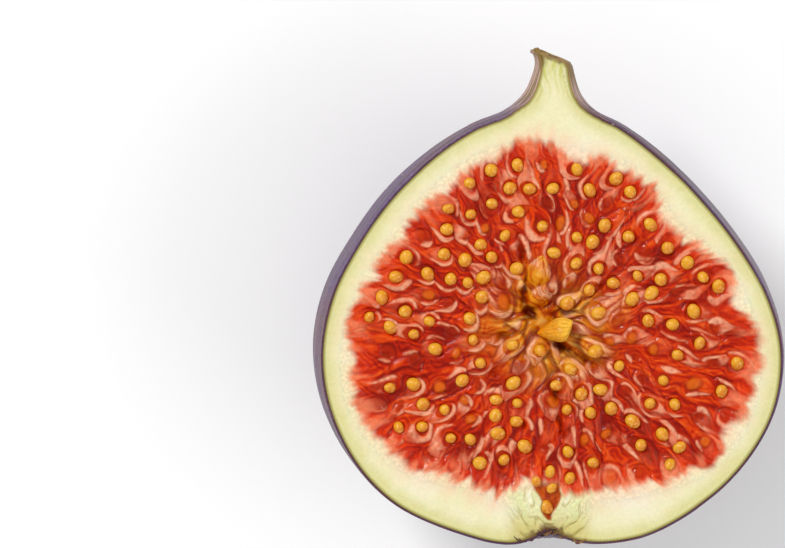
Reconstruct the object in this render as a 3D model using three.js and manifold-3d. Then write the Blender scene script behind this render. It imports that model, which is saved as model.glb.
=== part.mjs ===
// Half of a fresh purple fig, cut lengthwise from the stalk to the eye.
// It lies on its rounded back with the cut face up. Units are millimetres.
// X runs across the fruit, Y from the eye towards the stalk and Z up.
// The three layers that the cut shows are solids of their own: the purple skin, the cream rind
// with the stalk's core, and the red pulp with its florets and seeds.
import * as THREE from "three";
import { mergeVertices } from "three/addons/utils/BufferGeometryUtils.js";
import Module from "manifold-3d";

const wasm = await Module();
wasm.setup();

// Driving dimensions
const skinThickness = 0.6;
const layerGap = 0.3; // clearance between one layer and the next
const depthPerWidth = 0.94; // the fruit is a little flatter than it is wide
const flatRise = 1.3; // how far its own weight flattens the back
const ribHeight = 0.008; // share of the local radius
const tipSlant = 0.35; // the stalk's end slopes down to the right
const pulpDepth = 24.5; // deepest point of the pulp under the cut face
const pulpSink = 0.35; // the pulp's surface sags this far below the rind
const seedRadius = 0.72;
const floretCount = 98;
const floretLength = 6.2;
const floretRadius = 1.1;
const floretSink = 0.45; // how far a floret's axis lies below the pulp's surface
const seedlessShare = 0.12; // florets whose seed doesn't show
const strandCount = 40; // strands that run between the florets from the middle to the rind
const strandHeight = 0.5;
const hollowRadius = 2.6; // the open middle, where the florets' tips meet

// The cut outline, from the eye to the broken end of the stalk. Each row holds the place along the
// fruit, the left and right edges of the cut, and how far the cut passes above the widest section,
// as a share of the section's depth there.
const stations = [
  [-23.9, -0.2, 0.2, 0.02],
  [-24.9, -2.2, 2.4, 0.04],
  [-25.4, -4.6, 5.6, 0.06],
  [-24.7, -8.8, 10.9, 0.08],
  [-20.9, -17.8, 18.0, 0.11],
  [-16.0, -22.7, 23.0, 0.14],
  [-9.5, -26.0, 26.5, 0.16],
  [-2.6, -27.0, 27.3, 0.17],
  [4.2, -25.7, 25.4, 0.18],
  [10.4, -22.5, 21.7, 0.19],
  [15.8, -18.6, 17.3, 0.21],
  [20.4, -13.7, 12.6, 0.24],
  [23.6, -8.9, 8.4, 0.28],
  [25.4, -4.7, 4.9, 0.42],
  [27.2, -2.4, 3.0, 0.62],
  [29.6, -1.4, 2.3, 0.66],
  [31.2, -1.2, 2.1, 0.64],
  [32.3, -1.8, 1.9, 0.6],
];

// Reach of the pulp in the cut face: angle from +X in degrees, and distance from the middle.
const pulpReach = [
  [0, 23.4], [20, 21.4], [40, 18.8], [60, 20.6], [80, 20.6], [100, 21.6], [120, 21.3], [140, 20.7],
  [160, 21.4], [180, 23.2], [200, 24.4], [220, 23.6], [240, 20.6], [255, 19.4], [262.5, 19.4],
  [270, 22.0], [277.5, 19.6], [300, 21.8], [320, 24.6], [340, 25.0],
];

// The florets' tips leave dark clefts between them: angle in degrees, length, half width, depth.
const clefts = [
  [112, 7.5, 0.8, 3.2],
  [188, 8.5, 0.7, 2.4],
  [236, 7.0, 0.7, 2.2],
  [282, 11.0, 0.8, 2.6],
  [332, 9.0, 0.8, 3.0],
  [40, 6.0, 0.7, 2.0],
];

// Small repeatable random source, one stream for each kind of piece.
function randomStream(seed) {
  let state = seed;
  return () => {
    state = (Math.imul(state, 1664525) + 1013904223) >>> 0;
    return state / 4294967296;
  };
}

// Curves through the left and the right edge; z carries the share of depth above the widest section.
const edgeCurve = (column) =>
  new THREE.CatmullRomCurve3(stations.map((s) => new THREE.Vector3(s[column], s[0], s[3])));
const leftEdge = edgeCurve(1);
const rightEdge = edgeCurve(2);

// Ribs run from stalk to eye and fade out at both ends.
function ribFactor(t, phi) {
  const fade = Math.pow(Math.sin(Math.PI * Math.min(1, Math.max(0, t))), 0.7);
  const wave =
    Math.cos(9 * phi + 0.7) + 0.7 * Math.cos(13 * phi + 2.2 + 2 * t) + 0.4 * Math.cos(5 * phi + 1.1);
  return 1 + ribHeight * fade * wave;
}

// A point of the whole fruit's skin. The cut plane is z = 0 here, and phi goes round the long axis.
function skinPoint(t, phi, target = new THREE.Vector3()) {
  const left = leftEdge.getPoint(t);
  const right = rightEdge.getPoint(t);
  const share = left.z;
  const radius = (right.x - left.x) / 2 / Math.sqrt(1 - share * share);
  const depth = radius * depthPerWidth;
  const rib = ribFactor(t, phi);
  const across = radius * Math.cos(phi) * rib;
  return target.set(
    (left.x + right.x) / 2 + across,
    left.y - tipSlant * across * THREE.MathUtils.smoothstep(t, 0.9, 1),
    depth * (Math.sin(phi) * rib - share),
  );
}

// Outward normal by finite differences.
function skinNormal(t, phi) {
  const step = 2e-3;
  const along = skinPoint(Math.min(1, t + step), phi).sub(skinPoint(Math.max(0, t - step), phi));
  const around = skinPoint(t, phi + step).sub(skinPoint(t, phi - step));
  return around.cross(along).multiplyScalar(-1).normalize();
}

// The lowest point of the skin sets the floor, which flattens the back a little.
function lowestSkinPoint() {
  let lowest = 0;
  for (let t = 0.2; t < 0.8; t += 0.01)
    for (let phi = -2.2; phi < -0.9; phi += 0.05) lowest = Math.min(lowest, skinPoint(t, phi).z);
  return lowest;
}
const floorLevel = lowestSkinPoint() + flatRise;

// Closed grid: rows of rings between two end points.
function closedGrid(rings, firstPole, lastPole) {
  const around = rings[0].length;
  const points = [firstPole, ...rings.flat(), lastPole];
  const last = points.length - 1;
  const at = (row, column) => 1 + row * around + (column % around);
  const index = [];
  for (let j = 0; j < around; j++) {
    index.push(0, at(0, j), at(0, j + 1));
    for (let i = 0; i + 1 < rings.length; i++) {
      index.push(at(i, j), at(i + 1, j), at(i + 1, j + 1));
      index.push(at(i, j), at(i + 1, j + 1), at(i, j + 1));
    }
    index.push(last, at(rings.length - 1, j + 1), at(rings.length - 1, j));
  }
  const geometry = new THREE.BufferGeometry().setFromPoints(points);
  geometry.setIndex(index);
  return geometry;
}

// The whole fruit's surface, moved inwards by inset. tipReach lengthens the stalk's end.
function fruitGeometry(inset, rows, columns, tipReach) {
  const rings = [];
  for (let i = 1; i <= rows; i++) {
    const t = i / rows;
    const ring = [];
    for (let j = 0; j < columns; j++) {
      const phi = (2 * Math.PI * j) / columns;
      const point = skinPoint(t, phi).addScaledVector(skinNormal(t, phi), -inset);
      point.z = Math.max(point.z, floorLevel + inset);
      ring.push(point);
    }
    rings.push(ring);
  }
  const tipRing = rings.at(-1);
  if (tipReach) rings.push(tipRing.map((p) => p.clone().setY(p.y + tipReach)));
  const middle = (ring) => ring.reduce((sum, p) => sum.add(p), new THREE.Vector3()).divideScalar(ring.length);
  const eye = middle([skinPoint(0, 0), skinPoint(0, Math.PI)]);
  eye.y += inset;
  return closedGrid(rings, eye, middle(rings.at(-1)));
}

// A closed three.js geometry as a solid, and back again.
function solidFrom(geometry) {
  const bare = geometry.index ? geometry.toNonIndexed() : geometry.clone();
  bare.deleteAttribute("normal");
  bare.deleteAttribute("uv");
  const merged = mergeVertices(bare, 1e-4);
  return new wasm.Manifold(
    new wasm.Mesh({
      numProp: 3,
      vertProperties: merged.attributes.position.array,
      triVerts: new Uint32Array(merged.index.array),
    }),
  );
}

function meshFrom(solid, name, color, roughness) {
  const result = solid.getMesh();
  const geometry = new THREE.BufferGeometry();
  geometry.setAttribute("position", new THREE.BufferAttribute(result.vertProperties, 3));
  geometry.setIndex(new THREE.BufferAttribute(result.triVerts, 1));
  geometry.computeVertexNormals();
  const material = new THREE.MeshStandardMaterial({ color, roughness, metalness: 0, flatShading: true });
  const mesh = new THREE.Mesh(geometry, material);
  mesh.name = name;
  return mesh;
}

// Only the outer shell of the largest body: pockets that fusing has sealed are filled.
function filled(solid) {
  const shells = solid.decompose();
  return shells.reduce((best, shell) => (shell.volume() > best.volume() ? shell : best));
}

// Everything under the cut plane.
const spare = 60;
const lowerHalf = solidFrom(new THREE.BoxGeometry(2 * spare, 2 * spare, spare).translate(0, 0, -spare / 2));

// How far the pulp reaches from the middle, in any direction of the cut face.
const reachCurve = new THREE.CatmullRomCurve3(
  pulpReach.map(([degrees, reach]) => new THREE.Vector3(degrees, reach, 0)),
);
const reachSamples = reachCurve.getPoints(240);
function reachAt(angle) {
  const degrees = THREE.MathUtils.euclideanModulo(THREE.MathUtils.radToDeg(angle), 360);
  const next = reachSamples.findIndex((p) => p.x >= degrees);
  if (next === 0) return reachSamples[0].y;
  const before = next < 0 ? reachSamples.at(-1) : reachSamples[next - 1];
  const after = next < 0 ? new THREE.Vector3(360, pulpReach[0][1], 0) : reachSamples[next];
  return THREE.MathUtils.mapLinear(degrees, before.x, after.x, before.y, after.y);
}

// The bowl that the rind leaves for the pulp. Its wall rises above the cut plane, for a clean cut.
function bowlGeometry(inset, rows, columns) {
  const rings = [];
  for (let i = 0; i < rows; i++) {
    const slope = (0.5 * Math.PI * i) / rows;
    const ring = [];
    for (let j = 0; j < columns; j++) {
      const angle = (2 * Math.PI * j) / columns;
      const reach = (reachAt(angle) - inset) * Math.cos(slope);
      const depth = (pulpDepth - inset) * Math.sin(slope);
      ring.push(new THREE.Vector3(reach * Math.cos(angle), reach * Math.sin(angle), -depth));
    }
    rings.push(ring);
  }
  const top = rings[0].map((p) => p.clone().setZ(4));
  return closedGrid([top, ...rings], new THREE.Vector3(0, 0, 4), new THREE.Vector3(0, 0, inset - pulpDepth));
}

// Height of the pulp's open face: a slight sag, an open middle, and clefts that leave it.
function pulpHeight(x, y) {
  const distance = Math.hypot(x, y);
  const angle = Math.atan2(y, x);
  let height = -pulpSink - 2.4 * Math.exp(-Math.pow(distance / hollowRadius, 2));
  for (const [degrees, length, halfWidth, depth] of clefts) {
    const turn = angle - THREE.MathUtils.degToRad(degrees);
    const along = distance * Math.cos(turn);
    const across = distance * Math.sin(turn) - 0.5 * Math.sin(along * 0.9 + degrees);
    if (along < 0) continue;
    const fade = Math.max(0, 1 - along / length);
    height -= depth * fade * Math.exp(-Math.pow(across / (halfWidth * (0.5 + fade)), 2));
  }
  return height;
}

// Closed body under the pulp's open face. Every second column of the face is the crest of a strand.
function pulpFaceGeometry(rows) {
  const columns = 2 * strandCount;
  const random = randomStream(3);
  const rings = [];
  for (let i = 1; i <= rows; i++) {
    const distance = 30 * Math.pow(i / rows, 1.4);
    const ring = [];
    for (let j = 0; j < columns; j++) {
      const angle = (2 * Math.PI * (j + 0.35 * Math.sin(1.7 * i + 0.9 * j))) / columns;
      const x = distance * Math.cos(angle);
      const y = distance * Math.sin(angle);
      const crest = j % 2 ? strandHeight * (0.6 + 0.8 * random()) * Math.min(1, distance / 8) : 0;
      ring.push(new THREE.Vector3(x, y, pulpHeight(x, y) + crest));
    }
    rings.push(ring);
  }
  rings.push(rings.at(-1).map((p) => p.clone().setZ(-spare / 2)));
  return closedGrid(rings, new THREE.Vector3(0, 0, pulpHeight(0, 0)), new THREE.Vector3(0, 0, -spare / 2));
}

// Spiral spacing: each next piece turns by the golden angle, so the pieces spread evenly.
function spiralPlaces(count, innermost, outermost, random) {
  const goldenAngle = Math.PI * (3 - Math.sqrt(5));
  const places = [];
  for (let n = 0; n < count; n++) {
    const angle = n * goldenAngle + 0.25 * (random() - 0.5);
    const share = Math.sqrt((n + 0.5) / count);
    const distance = innermost + share * (reachAt(angle) - outermost - innermost) + 0.7 * (random() - 0.5);
    places.push({ angle, distance });
  }
  return places;
}

// A floret: a slim pod that points at the middle and holds its seed somewhere along its top.
const floretProfile = [
  [0, -0.5], [1, -0.26], [0.8, 0.26], [0, 0.5],
];

function floretPod(size, place) {
  const points = floretProfile.map(
    ([r, along]) => new THREE.Vector2(r * floretRadius * size, along * floretLength * size),
  );
  return new THREE.LatheGeometry(points, 6).rotateY(place.spin).applyMatrix4(place.matrix);
}

function floretSeed(size, place) {
  const seed = new THREE.IcosahedronGeometry(seedRadius * (0.85 + 0.3 * size));
  const along = 0.6 * floretLength * size * (place.seedShare - 0.5);
  const height = 0.85 * floretRadius * size;
  return seed.rotateX(place.spin).translate(0, along, height).applyMatrix4(place.matrix);
}

// Each floret lies along the line from the middle to the rind, a little askew.
function placedFlorets() {
  const random = randomStream(11);
  const solids = [];
  for (const place of spiralPlaces(floretCount, hollowRadius + 1.6, floretLength / 2, random)) {
    const x = place.distance * Math.cos(place.angle);
    const y = place.distance * Math.sin(place.angle);
    const turn = new THREE.Euler(0.08 * random(), 0, place.angle - Math.PI / 2 + 0.5 * (random() - 0.5), "ZYX");
    place.matrix = new THREE.Matrix4().makeRotationFromEuler(turn);
    place.matrix.setPosition(x, y, Math.max(pulpHeight(x, y), -1.6) - floretSink);
    place.spin = random() * Math.PI;
    place.seedShare = random();
    const size = 0.8 + 0.35 * random();
    solids.push(solidFrom(floretPod(size, place)));
    if (random() > seedlessShare) solids.push(solidFrom(floretSeed(size, place)));
  }
  return solids;
}

// Skin: a shell round the fruit, open where the stalk has broken off.
function makeSkin() {
  const outside = solidFrom(fruitGeometry(0, 34, 48, 0));
  const inside = solidFrom(fruitGeometry(skinThickness, 22, 32, 3));
  const shell = outside.subtract(inside).intersect(lowerHalf);
  return meshFrom(shell, "skin", 0x4a3550, 0.55);
}

// Rind: the cream flesh under the skin, thick under the stalk and round the eye.
function makeRind() {
  const outside = solidFrom(fruitGeometry(skinThickness + layerGap, 22, 32, 0.4));
  const bowl = solidFrom(bowlGeometry(0, 8, 48));
  return meshFrom(outside.intersect(lowerHalf).subtract(bowl), "rind", 0xe9e3b4, 0.5);
}

// Pulp: the florets and seeds that fill the rind, grown together in one body.
function makePulp() {
  const bowl = solidFrom(bowlGeometry(layerGap, 8, 48));
  const body = bowl.intersect(solidFrom(pulpFaceGeometry(8)));
  const grown = wasm.Manifold.union([body, ...placedFlorets()]).intersect(bowl);
  return meshFrom(filled(grown), "pulp", 0xb8331a, 0.3);
}

const layers = new THREE.Group();
layers.add(makeSkin(), makeRind(), makePulp());

// The origin is on the resting surface, under the middle of the fruit.
const bounds = new THREE.Box3().setFromObject(layers);
const middle = bounds.getCenter(new THREE.Vector3());
layers.position.set(-middle.x, -middle.y, -bounds.min.z);

const fig = new THREE.Group();
fig.add(layers);

export default fig;
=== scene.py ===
# Half of a fresh purple fig, cut from the stalk to the eye and lying on its back, cut face up.
# Shapes are worked out in millimetres, with the origin in the middle of the pulp, the cut face
# at z = 0 and +Y towards the stalk, and are moved to the frame's place as they become meshes.
import math
import bpy
import numpy as np
from mathutils import Matrix, Vector


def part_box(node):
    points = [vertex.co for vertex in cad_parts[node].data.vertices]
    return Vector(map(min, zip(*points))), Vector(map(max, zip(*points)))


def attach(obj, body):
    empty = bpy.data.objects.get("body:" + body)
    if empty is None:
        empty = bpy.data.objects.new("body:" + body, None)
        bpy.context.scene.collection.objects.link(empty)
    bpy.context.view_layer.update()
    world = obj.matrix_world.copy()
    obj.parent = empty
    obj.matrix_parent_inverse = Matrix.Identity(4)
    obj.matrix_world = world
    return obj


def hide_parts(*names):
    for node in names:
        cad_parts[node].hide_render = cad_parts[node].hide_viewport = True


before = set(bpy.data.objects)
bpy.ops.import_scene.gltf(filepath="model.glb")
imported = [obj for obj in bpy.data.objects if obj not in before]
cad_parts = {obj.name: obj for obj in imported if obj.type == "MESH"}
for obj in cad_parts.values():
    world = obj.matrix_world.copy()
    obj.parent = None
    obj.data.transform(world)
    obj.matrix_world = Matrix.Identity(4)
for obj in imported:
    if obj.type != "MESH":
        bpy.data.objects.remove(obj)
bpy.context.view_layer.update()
print("frame loaded")

# Form of the fruit, as in the solids, but with thinner skin and more of the stalk broken off
fruit = {
    "depthPerWidth": 0.94,  # a little flatter than it is wide
    "ribHeight": 0.008,  # share of the local radius
    "tipSlant": 0.35,  # slope of the stalk's end
    "tipTorn": 0.3,  # what has broken off that end, mm
    "tipTop": 32.3,  # and how far its highest side reaches
    "skinThickness": 0.28,
    "pulpDepth": 24.5,
}

# From the eye to the broken stalk: place along the fruit, left edge, right edge, and how far the
# cut passes above the widest section as a share of the depth there
stations = [
    (-23.9, -0.2, 0.2, 0.02), (-24.9, -2.2, 2.4, 0.04), (-25.4, -4.6, 5.6, 0.06),
    (-24.7, -8.8, 10.9, 0.08), (-20.9, -17.8, 18.0, 0.11), (-16.0, -22.7, 23.0, 0.14),
    (-9.5, -26.0, 26.5, 0.16), (-2.6, -27.0, 27.3, 0.17), (4.2, -25.7, 25.4, 0.18),
    (10.4, -22.5, 21.7, 0.19), (15.8, -18.6, 17.3, 0.21), (20.4, -13.7, 12.6, 0.24),
    (23.6, -8.9, 8.4, 0.28), (25.4, -4.7, 4.9, 0.42), (27.2, -2.4, 3.0, 0.62),
    (29.6, -1.4, 2.3, 0.66), (31.2, -1.2, 2.1, 0.64), (32.3, -1.8, 1.9, 0.6),
]

# Reach of the red pulp in the cut face: angle from +X in degrees, and distance from the middle
pulpReach = [
    (0, 23.4), (20, 21.4), (40, 18.8), (60, 20.6), (80, 20.6), (100, 21.6), (120, 21.3),
    (140, 20.7), (160, 21.4), (180, 23.2), (200, 24.4), (220, 23.6), (240, 20.6), (255, 19.4),
    (270, 19.0), (285, 19.8), (300, 21.8), (320, 24.6), (340, 25.0), (360, 23.4),
]

# Dark clefts between the florets' tips: both ends, half width, depth
clefts = [
    (-3.1, 2.6, -2.7, 6.4, 0.5, 1.0), (-3.1, 2.4, -1.3, 0.9, 0.6, 1.3),
    (0.9, 1.9, 2.6, 1.7, 0.5, 0.9), (0.3, -1.7, 2.6, -2.9, 0.6, 1.3),
    (2.6, -2.7, 5.6, -4.5, 0.45, 0.9), (-6.6, -1.2, -4.6, -0.8, 0.4, 0.6),
    (0.5, -6.4, 0.9, -9.0, 0.4, 0.8), (0.9, -9.0, 1.7, -13.0, 0.35, 0.7),
    (-2.7, 6.6, -3.7, 11.2, 0.35, 0.6), (-2.5, -8.6, -3.0, -12.2, 0.3, 0.5),
    (5.0, 4.2, 7.0, 5.4, 0.3, 0.5), (-6.8, -6.0, -6.2, -4.6, 0.3, 0.5),
]


# Screen colour, 0 to 255 a channel, to linear light
def tint(red, green, blue):
    screen = np.array([red, green, blue]) / 255
    return np.where(screen <= 0.04045, screen / 12.92, ((screen + 0.055) / 1.055) ** 2.4)


# S-curve from 0 at low to 1 at high; low may lie above high
def ease(low, high, value):
    share = np.clip((value - low) / (high - low), 0, 1)
    return share * share * (3 - 2 * share)


# One colour turned into another by a weight for each point
def blend(first, second, weight):
    return first + (second - first) * np.asarray(weight)[..., None]


# Smooth random field between -1 and 1: random values on a unit lattice, joined by s-curves; it
# repeats every 64 units
def fieldNoise(x, y, seed):
    size = 64
    table = np.random.default_rng(seed).uniform(-1, 1, (size, size))
    column, row = np.floor(x).astype(int), np.floor(y).astype(int)
    across, up = x - column, y - row
    across, up = across * across * (3 - 2 * across), up * up * (3 - 2 * up)
    corner = lambda i, j: table[(row + j) % size, (column + i) % size]
    low = corner(0, 0) * (1 - across) + corner(1, 0) * across
    high = corner(0, 1) * (1 - across) + corner(1, 1) * across
    return low * (1 - up) + high * up


# The field summed over octaves, each half as wide and half as strong as the one before
def layeredNoise(x, y, seed, octaves=3):
    total = sum(fieldNoise(x * 2**k + 17 * k, y * 2**k, seed + k) / 2**k for k in range(octaves))
    return total / (2 - 2 ** (1 - octaves))


# Curve through rows of points: a cubic between neighbours, with slopes weighed by the square
# roots of the gaps; t runs from 0 to 1 with equal steps from row to row
def smoothCurve(rows, t):
    rows = np.asarray(rows, float)
    last = len(rows) - 1
    padded = np.vstack([2 * rows[0] - rows[1], rows, 2 * rows[-1] - rows[-2]])
    place = np.clip(t, 0, 1) * last
    piece = np.minimum(place.astype(int), last - 1)
    w = (place - piece)[..., None]
    p0, p1, p2, p3 = (padded[piece + k] for k in range(4))
    gap = lambda a, b: np.sqrt(np.linalg.norm(b - a, axis=-1, keepdims=True) + 1e-12)
    d0, d1, d2 = gap(p0, p1), gap(p1, p2), gap(p2, p3)
    m1 = ((p1 - p0) / d0 - (p2 - p0) / (d0 + d1) + (p2 - p1) / d1) * d1
    m2 = ((p2 - p1) / d1 - (p3 - p1) / (d1 + d2) + (p3 - p2) / d2) * d1
    return p1 + m1 * w + (3 * (p2 - p1) - 2 * m1 - m2) * w**2 + (2 * (p1 - p2) + m1 + m2) * w**3


# Both edges of the cut, as rows of x, y and the share by which the cut is above the middle
leftRows = [(left, y, share) for y, left, right, share in stations]
rightRows = [(right, y, share) for y, left, right, share in stations]


# Ribs run from stalk to eye and fade at both ends: a sum of three waves round the fruit
def ribFactor(t, phi):
    fade = np.sin(np.pi * np.clip(t, 0, 1)) ** 0.7
    wave = np.cos(9 * phi + 0.7) + 0.7 * np.cos(13 * phi + 2.2 + 2 * t) + 0.4 * np.cos(5 * phi + 1.1)
    return 1 + fruit["ribHeight"] * fade * wave


# Fruit's surface: at each t an ellipse through the cut's left and right edges, its centre below
# the cut by its share of the depth
def skinPoints(t, phi):
    left, right = smoothCurve(leftRows, t), smoothCurve(rightRows, t)
    share = left[..., 2]
    radius = (right[..., 0] - left[..., 0]) / 2 / np.sqrt(1 - share**2)
    across = radius * np.cos(phi) * ribFactor(t, phi)
    x = (left[..., 0] + right[..., 0]) / 2 + across
    atTip = ease(0.9, 1, t)
    y = left[..., 1] - (fruit["tipSlant"] * across + fruit["tipTorn"]) * atTip
    y = np.minimum(y, fruit["tipTop"] + 0.12 * np.sin(5 * phi) * atTip)
    z = radius * fruit["depthPerWidth"] * (np.sin(phi) * ribFactor(t, phi) - share)
    return np.stack([x, y, z], -1)


# Outward normal of the fruit's surface, by small steps along and round it
def skinNormals(t, phi):
    step = 2e-3
    along = skinPoints(np.minimum(1, t + step), phi) - skinPoints(np.maximum(0, t - step), phi)
    around = skinPoints(t, phi + step) - skinPoints(t, phi - step)
    normal = np.cross(along, around)
    return normal / np.linalg.norm(normal, axis=-1, keepdims=True)


# Angle above the horizon at which the surface meets the cut plane
def cutAngle(t, side):
    share = smoothCurve(leftRows, t)[..., 2]
    angle = np.arcsin(share)
    for _ in range(3):
        phi = np.pi - angle if side < 0 else 2 * np.pi + angle
        angle = np.arcsin(share / ribFactor(t, phi))
    return angle


# The skin's box in the frame gives the level of the floor under the cut face, and later the shift
skinLow, skinHigh = (np.array(corner) * 1000 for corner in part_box("skin"))
floorLevel = skinLow[2] - skinHigh[2] + 0.01


# Places along the fruit whose steps along the cut edge are equal
def evenPlaces(count):
    t = np.linspace(0, 1, 4000)
    edge = smoothCurve(leftRows, t)[:, :2]
    run = np.concatenate([[0], np.cumsum(np.linalg.norm(np.diff(edge, axis=0), axis=1))])
    return np.interp(np.linspace(0, run[-1], count), run, t)


# Quads of a grid stored row by row; loop joins the last column to the first
def gridFaces(rows, columns, loop=False, start=0):
    wrap = columns if loop else columns - 1
    i, j = np.meshgrid(np.arange(rows - 1), np.arange(wrap), indexing="ij")
    k = (j + 1) % columns
    corners = [i * columns + j, i * columns + k, (i + 1) * columns + k, (i + 1) * columns + j]
    return start + np.stack(corners, -1).reshape(-1, 4)


# Six times the volume inside the faces; it is negative where they point inwards
def signedVolume(points, faces):
    total = 0
    for group in faces:
        a = points[group[:, 0]]
        for k in range(1, group.shape[1] - 1):
            b, c = points[group[:, k]], points[group[:, k + 1]]
            total += np.einsum("ij,ij->", a, np.cross(b, c))
    return total


# A mesh object from points in millimetres and groups of quads or triangles, faces turned outwards
def makePiece(name, points, faces, material, node, normals=None, sharpAngle=None):
    if signedVolume(points, faces) < 0:
        faces = [group[:, ::-1] for group in faces]
    mesh = bpy.data.meshes.new(name)
    corners = [face for group in faces for face in group.tolist()]
    mesh.from_pydata((points + shift) / 1000, [], corners)
    mesh.polygons.foreach_set("use_smooth", np.ones(len(mesh.polygons), bool))
    if sharpAngle is not None:
        mesh.set_sharp_from_angle(angle=math.radians(sharpAngle))
    if normals is not None:
        mesh.normals_split_custom_set_from_vertices(normals.tolist())
    piece = bpy.data.objects.new(name, mesh)
    bpy.context.scene.collection.objects.link(piece)
    mesh.materials.append(material)
    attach(piece, "root")
    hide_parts(node)
    return piece


# A value or a colour at each point of a mesh, for its material to read
def paint(piece, name, values):
    values = np.asarray(values, float)
    kind = "FLOAT" if values.ndim == 1 else "FLOAT_COLOR"
    layer = piece.data.attributes.new(name, kind, "POINT")
    if kind == "FLOAT":
        layer.data.foreach_set("value", values)
    else:
        layer.data.foreach_set("color", np.column_stack([values, np.ones(len(values))]).ravel())


# A new material with its nodes, its links and its shader
def startMaterial(name):
    material = bpy.data.materials.new(name)
    material.use_nodes = True
    nodes = material.node_tree.nodes
    return material, nodes, material.node_tree.links, nodes["Principled BSDF"]


# What a mesh has painted on it under this name
def readAttribute(nodes, name):
    node = nodes.new("ShaderNodeAttribute")
    node.attribute_name = name
    return node


# Noise between 0 and 1, with scale patches a metre
def noiseNode(nodes, links, vector, scale, detail=3, roughness=0.55):
    node = nodes.new("ShaderNodeTexNoise")
    node.inputs["Scale"].default_value = scale
    node.inputs["Detail"].default_value = detail
    node.inputs["Roughness"].default_value = roughness
    links.new(vector, node.inputs["Vector"])
    return node.outputs["Fac"]


# S-curve from toLow at low to toHigh at high
def rangeNode(nodes, links, value, low, high, toLow=0, toHigh=1):
    node = nodes.new("ShaderNodeMapRange")
    node.interpolation_type = "SMOOTHSTEP"
    limits = {"From Min": low, "From Max": high, "To Min": toLow, "To Max": toHigh}
    for socket, number in limits.items():
        node.inputs[socket].default_value = number
    links.new(value, node.inputs["Value"])
    return node.outputs["Result"]


# One colour turned into another by a weight; each may be a value or another node's output
def mixNode(nodes, links, weight, first, second):
    node = nodes.new("ShaderNodeMix")
    node.data_type = "RGBA"
    for socket, source in (("Factor", weight), ("A", first), ("B", second)):
        target = [s for s in node.inputs if s.name == socket and s.enabled][0]
        if isinstance(source, bpy.types.NodeSocket):
            links.new(source, target)
        elif np.ndim(source):
            target.default_value = (*source, 1)
        else:
            target.default_value = source
    return [s for s in node.outputs if s.enabled][0]


# Normals tilted by the slope of a height, whose full range is distance metres
def bumpNode(nodes, links, height, strength, distance):
    node = nodes.new("ShaderNodeBump")
    node.inputs["Strength"].default_value = strength
    node.inputs["Distance"].default_value = distance
    links.new(height, node.inputs["Height"])
    return node


# Two numbers added, multiplied or compared
def mathNode(nodes, links, operation, first, second):
    node = nodes.new("ShaderNodeMath")
    node.operation = operation
    for socket, source in zip(node.inputs, (first, second)):
        if isinstance(source, bpy.types.NodeSocket):
            links.new(source, socket)
        else:
            socket.default_value = source
    return node.outputs[0]


# Skin
skin = {
    "rows": 250,
    "columns": 170,
    "wrinkle": 0.10,  # height of the fine folds, mm
    "wax": tint(124, 100, 146),
    "purple": tint(80, 40, 86),
    "wine": tint(96, 40, 52),
    "night": tint(38, 24, 46),
    "stalkPink": tint(196, 162, 156),
    "stalkOlive": tint(124, 102, 54),
    "lenticel": tint(214, 186, 176),
    "cutEdge": tint(74, 36, 44),
    "stalkEdge": tint(140, 104, 40),
}


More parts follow.
